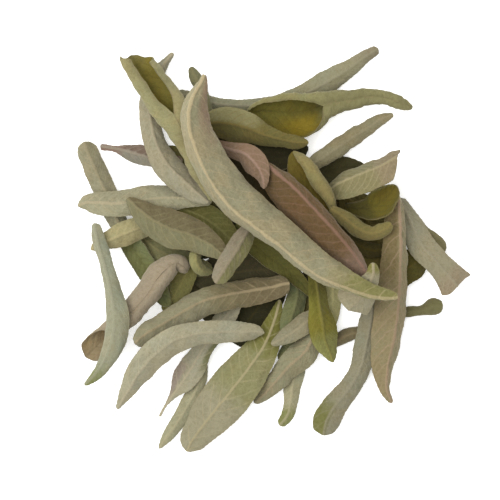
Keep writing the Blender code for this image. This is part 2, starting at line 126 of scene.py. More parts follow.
def leaf_surface(leaf, index, rows, columns):
    """The leaf's middle surface: a grid of points, from stalk end to tip and from right margin to left."""
    run = np.array(leaf.run, float)
    points = np.stack([run[:, 0] - PLAN_MIDDLE[0], PLAN_MIDDLE[1] - run[:, 1], run[:, 2]], axis=1) * GRID
    chord = np.r_[0, np.cumsum(np.linalg.norm(np.diff(points[:, :2], axis=0), axis=1))]
    length = chord[-1]
    even = np.linspace(0, 1, rows + 1)
    share = (1 - END_CROWDING) * even + END_CROWDING * (1 - np.cos(np.pi * even)) / 2
    line = smooth_through(chord, points, share * length)
    before = smooth_through(chord, points, np.clip(share * length - NUDGE, 0, length))
    after = smooth_through(chord, points, np.clip(share * length + NUDGE, 0, length))
    step = (after - before)[:, :2]
    ahead = step / np.linalg.norm(step, axis=1)[:, None]
    left = np.stack([-ahead[:, 1], ahead[:, 0]], axis=1)

    width = np.maximum(line[:, 2], NARROWEST)
    to_end = np.minimum(share, 1 - share) * length
    rounding = np.minimum(width / 2, np.where(share < 0.5, *leaf.corners) * MM)
    near = 1 - np.clip(to_end / rounding, 0, 1)
    width = width - 2 * rounding * (1 - np.sqrt(1 - TIP_SHARPNESS * near ** 2))

    sections = np.radians(np.stack([leaf.section, leaf.tip_section or leaf.section], axis=1))
    mix = eased(np.clip((share - leaf.change[0]) / (leaf.change[1] - leaf.change[0]), 0, 1))
    fold_left, curl_left, fold_right, curl_right = sections[:, :1] * (1 - mix) + sections[:, 1:] * mix
    roll = np.radians(leaf.roll[0] + (leaf.roll[1] - leaf.roll[0]) * share)
    u, out_left, down_left = half_section(fold_left + roll, curl_left, leaf.late)
    _, out_right, down_right = half_section(fold_right - roll, curl_right, leaf.late)
    reach_left, reach_right = out_left.max(axis=1), out_right.max(axis=1)
    half_width = width / (reach_left + reach_right)
    midrib = (reach_right - reach_left) / 2

    across = np.linspace(-1, 1, 2 * columns + 1)
    leftward = np.zeros((rows + 1, len(across)))
    upward = np.zeros_like(leftward)
    on_left = across >= 0
    for row in range(rows + 1):
        leftward[row, on_left] = np.interp(across[on_left], u, out_left[row])
        upward[row, on_left] = -np.interp(across[on_left], u, down_left[row])
        leftward[row, ~on_left] = -np.interp(-across[~on_left], u, out_right[row])
        upward[row, ~on_left] = -np.interp(-across[~on_left], u, down_right[row])
    leftward = (leftward + midrib[:, None]) * half_width[:, None]
    upward = upward * half_width[:, None]

    ends = np.where(share < 0.5, *leaf.ends) * MM * (2 * share - 1) ** 2
    phase = LEAVES_OUT_OF_STEP * index + np.where(across > 0, SIDES_OUT_OF_STEP, 0.0)
    wave = np.sin(2 * np.pi * share[:, None] * length / RIPPLE_LENGTH + phase[None, :])
    freedom = np.clip(half_width / FULL_RIPPLE_WIDTH, 0, 1)
    ripple = RIPPLE_HEIGHT * wave * across[None, :] ** 2 * freedom[:, None]

    grid = np.zeros((rows + 1, len(across), 3))
    grid[:, :, :2] = line[:, None, :2] + leftward[:, :, None] * left[:, None, :]
    grid[:, :, 2] = upward + ends[:, None] + ripple
    return Surface(grid, share, across, half_width, length, width)


def normals_of(grid):
    normal = np.cross(np.gradient(grid, axis=0), np.gradient(grid, axis=1))
    return normal / np.linalg.norm(normal, axis=2)[:, :, None]


# How the leaves lie on each other. Each leaf comes to rest on those laid before it: the heap's height is
# kept for each square cell of a field, and a leaf may lift, tilt two ways and bend a little to lie low.
RESTING_THICKNESS = 0.6 * MM
FULL_THICKNESS_WIDTH = 3 * MM
THINNEST_SHARE = 0.4
RESTING_ROWS, RESTING_COLUMNS = 150, 18
CLEARANCE = 0.45 * MM
CELL = 0.4 * MM
FIELD_HALF_SIDE = 68 * MM
BARE = -1.0
BEND_STIFFNESS, TILT_STIFFNESS = 60.0, 6.0
TILT_REACH = 20 * MM
SOFTNESS_STEPS = (0.002, 0.001, 0.0005, 0.0002, 0.0001)
MOST_MOVES = 12
SMALLEST_MOVE = 0.001


class Heap:
    """The height of the heap at each cell of a square field, as leaves are added to it."""

    def __init__(self):
        self.side = int(2 * FIELD_HALF_SIDE / CELL)
        self.top = np.full((self.side, self.side), BARE)
        self.laid = 0

    def cells(self, points):
        at = ((points[:, :2] + FIELD_HALF_SIDE) / CELL).astype(int)
        return tuple(np.clip(at, 1, self.side - 2).T)

    def height_needed(self, points):
        return np.maximum(self.top[self.cells(points)] + CLEARANCE, 0.0)

    def add(self, points):
        layer = np.full_like(self.top, BARE)
        np.maximum.at(layer, self.cells(points), points[:, 2])
        for axis in (0, 1):
            layer = np.maximum(layer, np.maximum(np.roll(layer, 1, axis), np.roll(layer, -1, axis)))
        self.top = np.maximum(self.top, layer)
        self.laid += 1


def lie_terms(points, share, middle):
    """What a leaf's height may depend on as it settles: where it is in plan, and its bend end to end."""
    return np.stack([
        (points[..., 0] - middle[0]) / TILT_REACH,
        (points[..., 1] - middle[1]) / TILT_REACH,
        (2 * share - 1) ** 2,
    ], axis=-1)


def settle(need, terms):
    """The lift, two tilts and bend at which a leaf rests lowest with every point clear of what is below."""
    mean = terms.mean(axis=0)
    stiffness = np.diag([TILT_STIFFNESS, TILT_STIFFNESS, BEND_STIFFNESS])
    lie = np.zeros(3)
    for softness in SOFTNESS_STEPS:
        def height_at(p):
            room = (need - terms @ p) / softness
            top = room.max()
            return softness * (top + np.log(np.exp(room - top).mean())) + mean @ p + p @ stiffness @ p

        for _ in range(MOST_MOVES):
            room = (need - terms @ lie) / softness
            weight = np.exp(room - room.max())
            weight /= weight.sum()
            pushed = weight @ terms
            slope = mean - pushed + 2 * stiffness @ lie
            spread = (terms * weight[:, None]).T @ terms - np.outer(pushed, pushed)
            move = np.linalg.solve(spread / softness + 2 * stiffness, -slope)
            size = 1.0
            now = height_at(lie)
            while size > SMALLEST_MOVE and height_at(lie + size * move) > now:
                size /= 2
            if size <= SMALLEST_MOVE:
                break
            lie = lie + size * move
    return (need - terms @ lie).max(), lie


def rest_leaf(leaf, heap):
    """Lays a leaf on the heap: how its points rise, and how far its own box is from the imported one."""
    surface = leaf_surface(leaf, heap.laid, RESTING_ROWS, RESTING_COLUMNS)
    thickness = RESTING_THICKNESS * np.clip(surface.width / FULL_THICKNESS_WIDTH, THINNEST_SHARE, 1)
    lean = normals_of(surface.grid) * thickness[:, None, None] / 2
    points = np.concatenate([(surface.grid + lean).reshape(-1, 3), (surface.grid - lean).reshape(-1, 3)])
    middle = points[:, :2].mean(axis=0)
    terms = lie_terms(points, np.tile(np.repeat(surface.share, surface.grid.shape[1]), 2), middle)
    lift, lie = settle(heap.height_needed(points) - points[:, 2], terms)
    points[:, 2] += lift + terms @ lie
    heap.add(points)

    def raised(grid, share):
        heights = grid[:, :, 2] + lift + lie_terms(grid, share, middle) @ lie
        return np.concatenate([grid[:, :, :2], heights[:, :, None]], axis=2)

    low, high = (np.array(corner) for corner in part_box(leaf.name))
    return raised, (low + high) / 2 - (points.min(axis=0) + points.max(axis=0)) / 2


# The surface of a blade. Its margin has fine teeth. Its midrib and slanting side veins branch into a net,
# which stands out of the felt below and is sunk between pebbles above. Drying has crumpled and quilted it.
THICK, THIN = 0.45 * MM, 0.24 * MM
TOOTH_DEPTH, TOOTH_LENGTH, TOOTH_DRIFT = 0.1 * MM, 1.2 * MM, 4 * MM
WAVE_DEPTH, WAVE_LENGTH = 0.1 * MM, 5 * MM
DEEPEST_CUT, TOOTHED_SHARE = 0.3, 0.5
END_ROUNDING, END_FADE, SHORTEST_FADE = 0.8, 3, 2 * MM
# How wide a section looks, in half widths of the blade: a roll is shut at the first, its margins draw
# together below the second, and a blade is quite open from the third.
CLOSED_ROLL, SEAM_STARTS, OPEN_BLADE = 0.7, 0.86, 1.3
SEAM_SHARE = 0.25
MARGINS_APART = 50 * MM
RIB_HEIGHT, RIB_WIDTH = 0.26 * MM, 0.28 * MM
RIB_AT_STALK, RIB_TAPER = 1.25, 0.7
VEIN_HEIGHT, VEIN_WIDTH = 0.07 * MM, 0.24 * MM
VEIN_SLANT, VEIN_SWEEP = 0.85, 0.35
VEINS_A_SIDE, CLOSEST_VEINS, WIDEST_VEINS = 13, 2.2 * MM, 4 * MM
VEIN_DISTANCE = 0.75
# Side veins stray by these shares of their spacing, over these lengths, each with a seed of its own.
VEIN_STRAYS = ((0.3, 14 * MM, 200), (0.06, 3 * MM, 500))
USUAL_STRENGTH, FAINTEST_VEIN = 0.7, 0.15
STRENGTH_SWING, STRENGTH_SIZE, STRENGTH_SEED = 0.4, 8 * MM, 400
VEIN_FADE, VEINED_HALF_WIDTH = 0.25, 2 * MM
NET_HEIGHT, NET_SIZE, NET_START = 0.04 * MM, 1.3 * MM, 50 * MM
NET_SPOTS, NET_EDGE = 64, 0.4
QUILT_HEIGHT = 0.06 * MM
# The blade is crumpled to these heights, over these lengths, each with a seed of its own.
CRUMPLES = ((0.2 * MM, 6 * MM, 100), (0.08 * MM, 2 * MM, 300))
CRUMPLE_WAVES, CRUMPLE_SUM, SHORTEST_WAVE = 7, 4, 0.6
FULL_CRUMPLE_WIDTH = 3 * MM
FELT_VEIN, SUNK_RIB, SUNK_NET = 1.3, 0.3, 1.4
ROUGH_GRID = (12, 4)
FLAT_EDGE, RIM_SHIFT = 0.01, 0.002


def crumple(x, y, size, seed):
    """A smooth uneven height between about -1 and 1, from waves that cross at many angles."""
    rng = np.random.default_rng(seed)
    height = np.zeros_like(x)
    for angle, scale, phase in rng.random((CRUMPLE_WAVES, 3)):
        turn = 2 * np.pi * angle
        wave = 2 * np.pi / (size * (SHORTEST_WAVE + scale))
        height += np.sin(wave * (x * np.cos(turn) + y * np.sin(turn)) + 2 * np.pi * phase)
    return height / CRUMPLE_SUM


def cell_edges(x, y, size, seed):
    """How near each point is to an edge in an uneven net of cells: 1 on it, and 0 well inside a cell."""
    spots = np.random.default_rng(seed).random((NET_SPOTS, NET_SPOTS, 2))
    column = np.floor(x / size).astype(int)
    row = np.floor(y / size).astype(int)
    first = np.full(x.shape, np.inf)
    second = first.copy()
    for i in (-1, 0, 1):
        for j in (-1, 0, 1):
            spot = spots[(column + i) % NET_SPOTS, (row + j) % NET_SPOTS]
            away = np.hypot(x / size - column - i - spot[..., 0], y / size - row - j - spot[..., 1])
            second = np.minimum(second, np.maximum(first, away))
            first = np.minimum(first, away)
    return np.clip(1 - (second - first) / NET_EDGE, 0, 1)


def rounded_end(half_width, length, share, across, edge):
    """How far each point moves in from one end, in shares of the length. share is counted from that end."""
    if edge is None:
        cut = END_ROUNDING * half_width * across ** 2
    else:
        sides, depths = np.array(edge, float).T
        cut = np.interp(across, sides, depths * MM)
    fade = np.maximum(END_FADE * cut.max(), SHORTEST_FADE)
    left = np.clip(1 - share * length / fade, 0, 1) ** 2
    return left[:, None] * cut[None, :] / length


def shaped_outline(surface, leaf, index):
    """The surface with rounded or torn ends, fine teeth along open margins, and rolled margins that meet."""
    grid, share, across, half_width, length, width = surface
    looks = width / half_width
    openness = np.clip((looks - CLOSED_ROLL) / (OPEN_BLADE - CLOSED_ROLL), 0, 1)
    open_half = half_width * openness
    wanted = share[:, None] + rounded_end(open_half[0], length, share, across, leaf.stalk_edge)
    wanted -= rounded_end(open_half[-1], length, 1 - share, across, leaf.tip_edge)
    pulled = grid.copy()
    for column in range(len(across)):
        for axis in range(3):
            pulled[:, column, axis] = np.interp(wanted[:, column], share, grid[:, column, axis])

    along = share * length
    tooth = 0.5 + 0.5 * np.sin(2 * np.pi * along / TOOTH_LENGTH + 2 * np.sin(along / TOOTH_DRIFT + index))
    for side in (-1, 1):
        slow = 0.5 + 0.5 * crumple(along, np.full_like(along, side * MARGINS_APART), WAVE_LENGTH, index)
        cut = np.minimum((TOOTH_DEPTH * tooth + WAVE_DEPTH * slow) / half_width, DEEPEST_CUT) * openness
        half = across * side > 0
        margin = eased(np.clip(1 - (1 - np.abs(across[half])) / TOOTHED_SHARE, 0, 1))
        for row in range(len(share)):
            new = across[half] * (1 - cut[row] * margin)
            for axis in range(3):
                pulled[row, half, axis] = np.interp(new, across, pulled[row, :, axis])

    seam = np.clip((SEAM_STARTS - looks) / (SEAM_STARTS - CLOSED_ROLL), 0, 1) ** 2
    near = np.clip(1 - (1 - np.abs(across)) / SEAM_SHARE, 0, 1) ** 2
    gap = pulled[:, -1] - pulled[:, 0]
    pulled -= gap[:, None, :] * (seam[:, None] * (near * np.sign(across) / 2)[None, :])[:, :, None]
    return pulled, wanted


def vein_pitch(length):
    return np.clip(length / VEINS_A_SIDE, CLOSEST_VEINS, WIDEST_VEINS)


def blade_marks(along, across, half_width, length, leaf, index):
    """The midrib, the count of side veins up to each point, and how strongly they and their net show."""
    rib_width = RIB_WIDTH * leaf.stout * (RIB_AT_STALK - RIB_TAPER * along / length)
    rib = np.exp(-(across / rib_width) ** 2)
    out = np.abs(across)
    pitch = vein_pitch(length)
    count = (along - leaf.lean * (VEIN_SLANT * out + VEIN_SWEEP * out ** 2 / half_width)) / pitch
    for stray, size, seed in VEIN_STRAYS:
        count += stray * crumple(along, across, size, index + seed)
    phase = count + np.where(across > 0, 0.5, 0.0)
    off = (phase - np.floor(phase) - 0.5) * pitch * VEIN_DISTANCE
    swing = STRENGTH_SWING * crumple(along, across, STRENGTH_SIZE, index + STRENGTH_SEED)
    strong = np.clip(USUAL_STRENGTH + swing, FAINTEST_VEIN, 1)
    strong *= np.clip((1 - out / half_width) / VEIN_FADE, 0, 1)
    strong *= np.clip(half_width / VEINED_HALF_WIDTH, 0, 1)
    side = np.exp(-(off / VEIN_WIDTH) ** 2) * strong
    net = cell_edges(along + NET_START, across + NET_START, NET_SIZE, index)
    quilt = np.cos(2 * np.pi * (phase - 0.5)) * strong
    return rib, count, strong, side, net, quilt


def quads_between(first, second):
    """Faces between two equal rows of point numbers."""
    return np.stack([first[:-1], first[1:], second[1:], second[:-1]], axis=-1).reshape(-1, 4)


def blade_mesh(leaf, index, raised, shift, spacing):
    """A leaf's fine mesh at rest in the heap, with its place and veins kept at each point for its finish."""
    rough = leaf_surface(leaf, index, *ROUGH_GRID)
    rows = int(np.ceil(rough.length / spacing))
    columns = max(4, int(np.ceil(rough.half_width.max() / spacing)))
    surface = leaf_surface(leaf, index, rows, columns)
    grid, share = shaped_outline(surface, leaf, index)
    grid = raised(grid, share) + shift
    normal = normals_of(grid)

    half_width = np.broadcast_to(surface.half_width[:, None], share.shape)
    along = share * surface.length
    across = surface.across[None, :] * half_width
    marks = blade_marks(along, across, half_width, surface.length, leaf, index)
    rib, count, strong, side, net, quilt = marks
    middle = (-1.0 if leaf.opens else 1.0) * QUILT_HEIGHT * leaf.veins * quilt
    for height, size, seed in CRUMPLES:
        middle += height * crumple(along, across, size, index + seed)
    free = np.clip(half_width / FULL_CRUMPLE_WIDTH, 0, 1)
    middle *= free
    rib = RIB_HEIGHT * rib * free
    half_thickness = (THICK + (THIN - THICK) * np.abs(surface.across[None, :]) ** 3) / 2
    felt_relief = rib + VEIN_HEIGHT * side * leaf.veins * FELT_VEIN + NET_HEIGHT * net
    green_relief = -SUNK_RIB * rib - VEIN_HEIGHT * side - SUNK_NET * NET_HEIGHT * net
    top, bottom = (green_relief, felt_relief) if leaf.opens else (felt_relief, green_relief)
    upper = grid + normal * (middle + half_thickness + top)[:, :, None]
    lower = grid + normal * (middle - half_thickness - bottom)[:, :, None]
    for face in (upper, lower):
        face[:, :, 2] = np.maximum(face[:, :, 2], packed_box[0].z)

    total = share.size
    above = np.arange(total).reshape(share.shape)
    below = above + total
    rim = np.concatenate([above[:, 0], above[-1, 1:], above[-2::-1, -1], above[0, -2:0:-1], above[:1, 0]])
    faces = np.concatenate([
        quads_between(above[:-1].T, above[1:].T),
        quads_between(below[1:].T, below[:-1].T),
        quads_between(rim + total, rim),
    ])
    mesh = bpy.data.meshes.new(leaf.name + "_blade")
    mesh.vertices.add(2 * total)
    mesh.vertices.foreach_set("co", np.concatenate([upper.ravel(), lower.ravel()]))
    mesh.loops.add(faces.size)
    mesh.loops.foreach_set("vertex_index", faces.ravel())
    mesh.polygons.add(len(faces))
    mesh.polygons.foreach_set("loop_start", np.arange(0, faces.size, 4))
    mesh.update(calc_edges=True)
    mesh.shade_smooth()

    side_share = np.broadcast_to(surface.across[None, :], share.shape)
    felt_above = 0.0 if leaf.opens else 1.0
    kept = {
        "place": [(along / MM, across / MM, felt_above), (along / MM, across / MM, 1 - felt_above)],
        "marks": [(count, strong, 0.0)] * 2,
        "reach": [(share, side_share, 0.0)] * 2,
    }
    for name, faces_values in kept.items():
        values = [np.stack(np.broadcast_arrays(*parts), axis=-1).reshape(-1, 3) for parts in faces_values]
        attribute = mesh.attributes.new(name, "FLOAT_VECTOR", "POINT")
        attribute.data.foreach_set("vector", np.concatenate(values).ravel())

    # A flat layout of the blade: the face on top in the left half, the face below in the right half, and
    # the rim as a thin strip along the edges of the first.
    flat_across = FLAT_EDGE + (0.5 - 2 * FLAT_EDGE) * (side_share + 1) / 2
    flat_along = FLAT_EDGE + (1 - 2 * FLAT_EDGE) * share
    flat = np.stack([flat_across, flat_along], axis=-1).reshape(-1, 2)
    corners = np.concatenate([flat, flat + (0.5, 0.0)])[faces]
    rim_corners = corners[4 * rows * columns:]
    rim_corners[:, :2] = rim_corners[:, 3:1:-1] + RIM_SHIFT
    layer = mesh.uv_layers.new(name="OFBake")
    layer.uv.foreach_set("vector", corners.astype(np.float32).ravel())
    return mesh


# The finish of a leaf. The underside is a felt of fine grey-green hairs with paler veins, and the upper face
# is olive and pebbled between sunk veins. Both are mottled, with brown freckles and a drier, tan margin.
# Painted shade darkens the hollows between the net's threads, the upper face's sunk veins and the margins.
class Value:
    """A value that varies over a finish. Sums written on it become part of the finish."""

    def __init__(self, finish, socket):
        self.finish = finish
        self.socket = socket

    def math(self, operation, *values):
        return self.finish.node("ShaderNodeMath", {"operation": operation}, dict(enumerate(values)))

    def __add__(self, other):
        return self.math("ADD", self, other)

    def __radd__(self, other):
        return self.math("ADD", other, self)

    def __sub__(self, other):
        return self.math("SUBTRACT", self, other)

    def __rsub__(self, other):
        return self.math("SUBTRACT", other, self)

    def __mul__(self, other):
        return self.math("MULTIPLY", self, other)

    def __rmul__(self, other):
        return self.math("MULTIPLY", other, self)

    def __abs__(self):
        return self.math("ABSOLUTE", self)

    def fraction(self):
        return self.math("FRACT", self)

    def between(self, low, high):
        """0 at low, 1 at high and smooth in between."""
        settings = {"interpolation_type": "SMOOTHSTEP"}
        inputs = {"Value": self, "From Min": low, "From Max": high}
        return self.finish.node("ShaderNodeMapRange", settings, inputs)


class Finish:
    """A material, and the nodes in it."""

    def __init__(self, name):
        self.material = bpy.data.materials.new(name)
        self.material.use_nodes = True
        self.tree = self.material.node_tree
        self.tree.nodes.clear()

    def node(self, kind, settings, inputs, output=0):
        """Adds a node: its settings are made first, and then its sockets get their values or links."""
        made = self.tree.nodes.new(kind)
        for key, value in settings.items():
            setattr(made, key, value)
        for key, value in inputs.items():
            if isinstance(value, Value):
                self.tree.links.new(value.socket, made.inputs[key])
            else:
                made.inputs[key].default_value = value
        return Value(self, made.outputs[output]) if made.outputs else None

    def mix(self, factor, first, second, blend="MIX"):
        settings = {"data_type": "RGBA", "blend_type": blend, "clamp_factor": True}
        return self.node("ShaderNodeMix", settings, {0: factor, 6: first, 7: second}, 2)

    def shade(self, base, mask, shade, blend="MIX"):
        """The base with a shade, given as (colour, strength), laid over it where the mask is."""
        colour, strength = shade
        return self.mix(mask * strength, base, ink(colour), blend)

    def attribute(self, name):
        """The vector kept at each point under a name, and its three parts."""
        vector = self.node("ShaderNodeAttribute", {"attribute_name": name}, {}, "Vector")
        first = self.node("ShaderNodeSeparateXYZ", {}, {0: vector})
        return vector, first, *(Value(self, first.socket.node.outputs[i]) for i in (1, 2))

    def cells(self, spot, size):
        """How far each point is from the edge of its cell, in an uneven net of cells."""
        inputs = {"Vector": spot, "Scale": 1 / size}
        return self.node("ShaderNodeTexVoronoi", {"feature": "DISTANCE_TO_EDGE"}, inputs, "Distance")

    def noise(self, spot, scale, detail=2.0):
        inputs = {"Vector": spot, "Scale": scale, "Detail": detail, "Roughness": 0.55}
        return self.node("ShaderNodeTexNoise", {}, inputs, "Fac")


def ink(colour, strength=1.0):
    """A shader colour from one on the scale of 0 to 255 as seen, made darker or lighter."""
    seen = np.clip(np.array(colour) * strength / 255, 0, 1)
    plain = np.where(seen < 0.04045, seen / 12.92, ((seen + 0.055) / 1.055) ** 2.4)
    return (*plain.tolist(), 1.0)


def within(place, start, end, blend):
    """1 where a value lies between start and end, and 0 elsewhere, blended at both."""
    return place.between(start - blend, start + blend) * (1 - place.between(end - blend, end + blend))


# Mottling, as how many blots there are to a millimetre and how finely they are broken up, the size of a
# cell of the net in millimetres, and how far apart in one pattern two leaves are, so that none are alike.
BLOTCH, WANDER, FRECKLE, FIBRE = (0.16, 3.0), (0.45, 2.0), (1.3, 2.0), (4.5, 3.0)
NET_CELL = 1.5
LEAVES_APART = (37.0, 19.0, 5.0)
# What drying did here and there to the colours of the felt and of the upper face, as factors.
WARM, COOL, RIPE = (1.015, 0.995, 0.95), (0.985, 1.0, 0.985), (1.05, 1.01, 0.9)
RIB_BRIGHTER, RIB_WARMER = 1.03, (7, 3, -1)
LENGTH_BLEND, SIDE_BLEND = 0.08, 0.18
# Tints laid over the colours, each with its strength: painted shade, and the leaf's own colours.
# Painted shade in the hollows between the net's threads.
HOLLOW_PAINTED_SHADE = (214, 210, 192), 0.35
# Painted shade in the sunk veins, midrib and net of the upper face.
SUNK_VEIN_PAINTED_SHADE = (150, 150, 120), 0.18
# A drier tan margin, darkened too as painted shade where the margins roll down.
DRY_MARGIN_AND_PAINTED_SHADE = (122, 104, 74), 0.35
BROWN_FRECKLE = (98, 86, 60), 0.16
FIBRE_SHADE = (190, 186, 170), 0.28


def leaf_finish(leaf, index):
    finish = Finish(leaf.name)
    place, _, across, felt_face = finish.attribute("place")
    _, count, strong, _ = finish.attribute("marks")
    _, share, side, _ = finish.attribute("reach")
    apart = tuple(step * index for step in LEAVES_APART)
    spot = finish.node("ShaderNodeVectorMath", {"operation": "ADD"}, {0: place, 1: apart})
    blotch = finish.noise(spot, *BLOTCH)
    wander = finish.noise(spot, *WANDER)
    freckle = finish.noise(spot, *FRECKLE)
    fibre = finish.noise(spot, *FIBRE)

    pitch = vein_pitch(leaf_surface(leaf, index, *ROUGH_GRID).length) / MM
    phase = count + across.between(-0.001, 0.001) * 0.5 + freckle * 0.05
    off = abs(phase.fraction() - 0.5) * (pitch * VEIN_DISTANCE)
    vein = off.between(0.30, 0.06) * strong
    rib = abs(across + freckle * 0.08 - 0.04).between(0.42 * leaf.stout, 0.10 * leaf.stout)
    rib = rib * (1.0 - share * 0.35)
    net = finish.cells(spot, NET_CELL).between(0.16, 0.02) * wander.between(0.3, 0.6)

    felt_colour, green_colour = np.array(leaf.felt), np.array(leaf.green)
    felt = finish.mix(blotch.between(0.34, 0.66), ink(felt_colour * WARM), ink(felt_colour * COOL))
    green = finish.mix(blotch.between(0.35, 0.65), ink(green_colour), ink(green_colour * RIPE))
    base = finish.mix(felt_face, green, felt)
    for colour, start, end, side_start, side_end in leaf.patches:
        drift = wander * 0.12 - 0.06
        lengthwise = within(share + drift, start, end, LENGTH_BLEND)
        sideways = within(side + drift, side_start, side_end, SIDE_BLEND)
        base = finish.mix(lengthwise * sideways, base, ink(colour))

    rib_colour = leaf.rib or tuple(felt_colour * RIB_BRIGHTER + RIB_WARMER)
    pale = ink(rib_colour, 1.04)
    # Painted shade: the cells between the net's threads, darker where the freckle noise is middling.
    base = finish.shade(base, (1 - net) * freckle.between(0.35, 0.65), HOLLOW_PAINTED_SHADE, "MULTIPLY")
    base = finish.mix(vein * felt_face * (0.55 * leaf.veins) + net * felt_face * 0.08, base, pale)
    base = finish.mix(rib * felt_face * 0.85, base, ink(rib_colour))
    # Painted shade in the sunk midrib, veins and net of the upper face.
    base = finish.shade(base, (vein + rib + net * 0.5) * (1 - felt_face), SUNK_VEIN_PAINTED_SHADE, "MULTIPLY")
    # The margin: drier and tan, and painted shade where it rolls down.
    base = finish.shade(base, (side * side).between(0.80, 1.0) * wander.between(0.35, 0.7), DRY_MARGIN_AND_PAINTED_SHADE)
    base = finish.shade(base, freckle.between(0.62, 0.78), BROWN_FRECKLE)
    base = finish.shade(base, fibre.between(0.3, 0.7), FIBRE_SHADE, "MULTIPLY")

    relief = vein * (felt_face * 1.2 - 0.5) + net * (felt_face * 0.7 - 0.3) + fibre * 0.5 + freckle * 0.5
    normal = finish.node("ShaderNodeBump", {}, {"Strength": 0.5, "Distance": 0.18 * MM, "Height": relief})
    shader = finish.node("ShaderNodeBsdfPrincipled", {}, {
        "Base Color": base,
        "Roughness": 0.74 + felt_face * 0.16 + fibre * 0.08,
        "Normal": normal,
        "Specular IOR Level": 0.2,
        "Sheen Weight": 0.15,
        "Sheen Roughness": 0.5,
        "Sheen Tint": ink((235, 230, 205)),
    })
    finish.node("ShaderNodeOutputMaterial", {}, {"Surface": shader})
    return finish.material


# The leaves are laid one after another, from the surface up. Those that hardly show are made more coarsely.
FINE_SPACING, HIDDEN_SPACING = 0.34 * MM, 0.6 * MM


def lay_leaf(leaf, heap, spacing=FINE_SPACING):
    """Lays a leaf on the heap and makes the piece that stands for it."""
    index = heap.laid
    raised, shift = rest_leaf(leaf, heap)
    mesh = blade_mesh(leaf, index, raised, shift, spacing)
    mesh.materials.append(leaf_finish(leaf, index))
    piece = bpy.data.objects.new(leaf.name + "_blade", mesh)
    bpy.context.scene.collection.objects.link(piece)
    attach(piece, "root")
    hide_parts(leaf.name)
    leaf.slot + "_leaf"


heap = Heap()
# The colours of these leaves are darkened as painted shade, for the shade that the heap casts into its gaps.
for leaf in (
    Leaf("under_leaf_low_left", "mauve", FLAT,
         [(228, 352, 8), (240, 332, 32), (256, 310, 38), (272, 290, 32), (290, 270, 8)], (42, 40, 20),
         stalk_edge=((-1, 2.6), (1, 2.6))),
    Leaf("under_leaf_low_right", "grey", FLAT,
         [(300, 330, 8), (310, 298, 28), (326, 262, 34), (346, 228, 28), (358, 204, 10)], (80, 76, 44)),
    Leaf("under_leaf_left", "grey", FLAT,
         [(178, 256, 10), (200, 246, 28), (232, 232, 36), (266, 220, 30), (290, 212, 8)], (60, 62, 38)),
    Leaf("under_leaf_right", "grey", FLAT,
         [(276, 150, 10), (292, 166, 30), (312, 188, 34), (336, 214, 32), (356, 236, 24), (368, 250, 8)],
         (78, 70, 38)),
    Leaf("under_leaf_upper", "grey", FLAT,
         [(208, 120, 10), (224, 138, 36), (243, 161, 44), (259, 188, 42), (276, 212, 36), (290, 232, 12)],
         (54, 46, 26)),
    Leaf("under_leaf_top_left", "green", FLAT,
         [(160, 148, 10), (176, 157, 24), (191, 174, 32), (206, 195, 34), (220, 214, 26), (228, 226, 10)],
         (92, 88, 52)),
    Leaf("under_leaf_narrow", "grey", FLAT,
         [(184, 262, 8), (190, 280, 24), (200, 300, 26), (214, 322, 12)], (68, 65, 44)),
    Leaf("under_leaf_middle", "mauve", FLAT,
         [(188, 276, 10), (208, 276, 34), (230, 273, 42), (252, 270, 42), (272, 270, 30), (288, 274, 10)],
         (58, 54, 36)),
    Leaf("under_leaf_far_right", "green", FLAT,
         [(340, 190, 10), (355, 207, 36), (374, 232, 46), (382, 258, 50), (388, 284, 14)], (84, 76, 38)),
    Leaf("under_leaf_far_left", "mauve", FLAT,
         [(140, 236, 8), (154, 248, 24), (172, 258, 26), (192, 266, 22), (212, 270, 12)], (104, 102, 72)),
):
    lay_leaf(leaf, heap, HIDDEN_SPACING)


# The outermost leaves, which lie on the surface.
# Whole dried leaves, some with the pale underside up and some with the olive face up, curled as they lost
# their water. Nothing holds them: they were spread on the surface before the others fell on them.

# Sections that many leaves dry to: a gentle arch, a roof with the midrib as its ridge, margins rolled in
# below, and a shallow dish with the upper face in it.
ARCHED = (15, 35, 15, 35)
ROOF = (28, 22, 28, 22)
ROLLED = (25, 85, 25, 85)
DISHED = (-12, -22, -12, -22)

